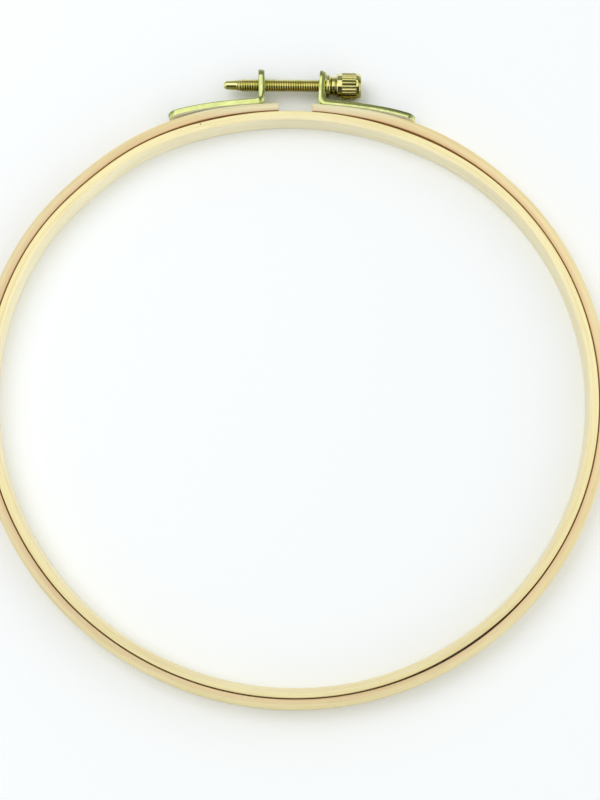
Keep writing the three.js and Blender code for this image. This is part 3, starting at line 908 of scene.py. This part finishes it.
# the eye and mirrors see the table a little paler than the light that it throws back on the hoop
rays = node(tree, "ShaderNodeLightPath").outputs
seen = node(tree, "ShaderNodeMath", {0: rays["Is Camera Ray"], 1: rays["Is Glossy Ray"]},
            operation="MAXIMUM").outputs["Value"]
lift = blend_colour(tree, seen, (0, 0, 0, 1), TABLE_LIFT)
paler = node(tree, "ShaderNodeBsdfDiffuse", {"Color": lift}).outputs["BSDF"]
both = node(tree, "ShaderNodeAddShader", {0: shader.outputs["BSDF"], 1: paler}).outputs["Shader"]
tree.links.new(both, tree.nodes["Material Output"].inputs["Surface"])
floor_mesh.materials.append(table_paint)

# The sky: a soft pale dome; in mirror reflections it is a bright window overhead in a dim room
world = bpy.data.worlds.new("studio")
bpy.context.scene.world = world
world.use_nodes = True
sky = world.node_tree
direction = node(sky, "ShaderNodeSeparateXYZ",
                 {"Vector": node(sky, "ShaderNodeTexCoord").outputs["Generated"]}).outputs


def math_of(operation, *values):
    return node(sky, "ShaderNodeMath", dict(enumerate(values)), operation=operation).outputs["Value"]


def smooth(value, low, high, at_low, at_high):
    """A value's smooth change from at_low to at_high."""
    return node(sky, "ShaderNodeMapRange", {"Value": value, "From Min": low, "From Max": high,
                                            "To Min": at_low, "To Max": at_high},
                interpolation_type="SMOOTHSTEP").outputs["Result"]


def pane(side, low, high, soft):
    """1 between two angles from overhead towards +X or +Y, in degrees, fading to 0 over a soft edge."""
    lean = math_of("ARCTAN2", direction[side], direction["Z"])
    middle, half = math.radians((low + high) / 2), math.radians((high - low) / 2)
    away = math_of("ABSOLUTE", math_of("SUBTRACT", lean, middle))
    return smooth(away, half, half + math.radians(soft), 1.0, 0.0)


def ramp(side, low, high, at_low, at_high):
    """A smooth change of level between two values of the direction's X, Y or Z."""
    return smooth(direction[side], low, high, at_low, at_high)


def scaled(first, second, addend=0.0):
    return math_of("MULTIPLY_ADD", first, second, addend)


# What a mirror sees: a window, paler walls near the table, and a lamp low down on the left and on the right
low_wall = scaled(ramp("Z", 0.55, 0.85, 1.0, 0.0), ramp("Y", -0.4, 0.4, 0.04, 0.26))
beside = smooth(math_of("ABSOLUTE", direction["X"]), 0.55, 0.8, 0.0, 1.0)
beside = scaled(beside, ramp("Y", 0.05, 0.3, 1.0, 0.0))
mirrored = scaled(beside, SIDE_LEVEL, low_wall)
mirrored = scaled(ramp("X", -0.9, -0.35, 0.6, 0.0), ramp("Z", 0.4, 0.6, 0.0, 1.0), mirrored)
mirrored = scaled(scaled(pane("X", *WINDOW_X), pane("Y", *WINDOW_Y)), WINDOW_LEVEL, mirrored)
mirrored = math_of("ADD", mirrored, DARKEST)

# What lights matt surfaces: a pale dome, brighter low down and on the right
soft = scaled(direction["X"], RIGHT_SHARE, ramp("Z", 0.0, 1.0, HORIZON_LEVEL, ZENITH_LEVEL))
glossy = node(sky, "ShaderNodeLightPath").outputs["Is Glossy Ray"]
level = node(sky, "ShaderNodeMix", {"Factor": glossy, "A": soft, "B": mirrored},
             data_type="FLOAT").outputs["Result"]
grey = node(sky, "ShaderNodeCombineColor", {"Red": level, "Green": level, "Blue": level}).outputs["Color"]
sky.links.new(grey, sky.nodes["Background"].inputs["Color"])

lamp_data = bpy.data.lights.new("softbox", "AREA")
lamp_data.shape = "SQUARE"
lamp_data.size = LAMP_SIZE
lamp_data.energy = LAMP_WATTS
lamp = bpy.data.objects.new("softbox", lamp_data)
lamp.location = LAMP_PLACE
lamp.rotation_euler = Vector(lamp.location).to_track_quat("Z", "Y").to_euler()
lamp.visible_glossy = False
bpy.context.scene.collection.objects.link(lamp)

camera_data = bpy.data.cameras.new("camera")
camera_data.lens = CAMERA_LENS
camera_data.sensor_width = CAMERA_SENSOR
camera_data.shift_x = -HALF_PIXEL
camera_data.shift_y = HALF_PIXEL
camera_data.clip_start = 0.01
camera = bpy.data.objects.new("camera", camera_data)
camera.location = Vector((*RING_MIDDLE, 0)) + Vector(CAMERA_FROM_MIDDLE)
camera.rotation_euler = tuple(math.radians(a) for a in CAMERA_TURN)
bpy.context.scene.collection.objects.link(camera)
bpy.context.scene.camera = camera
bpy.context.scene.view_settings.view_transform = "Standard"
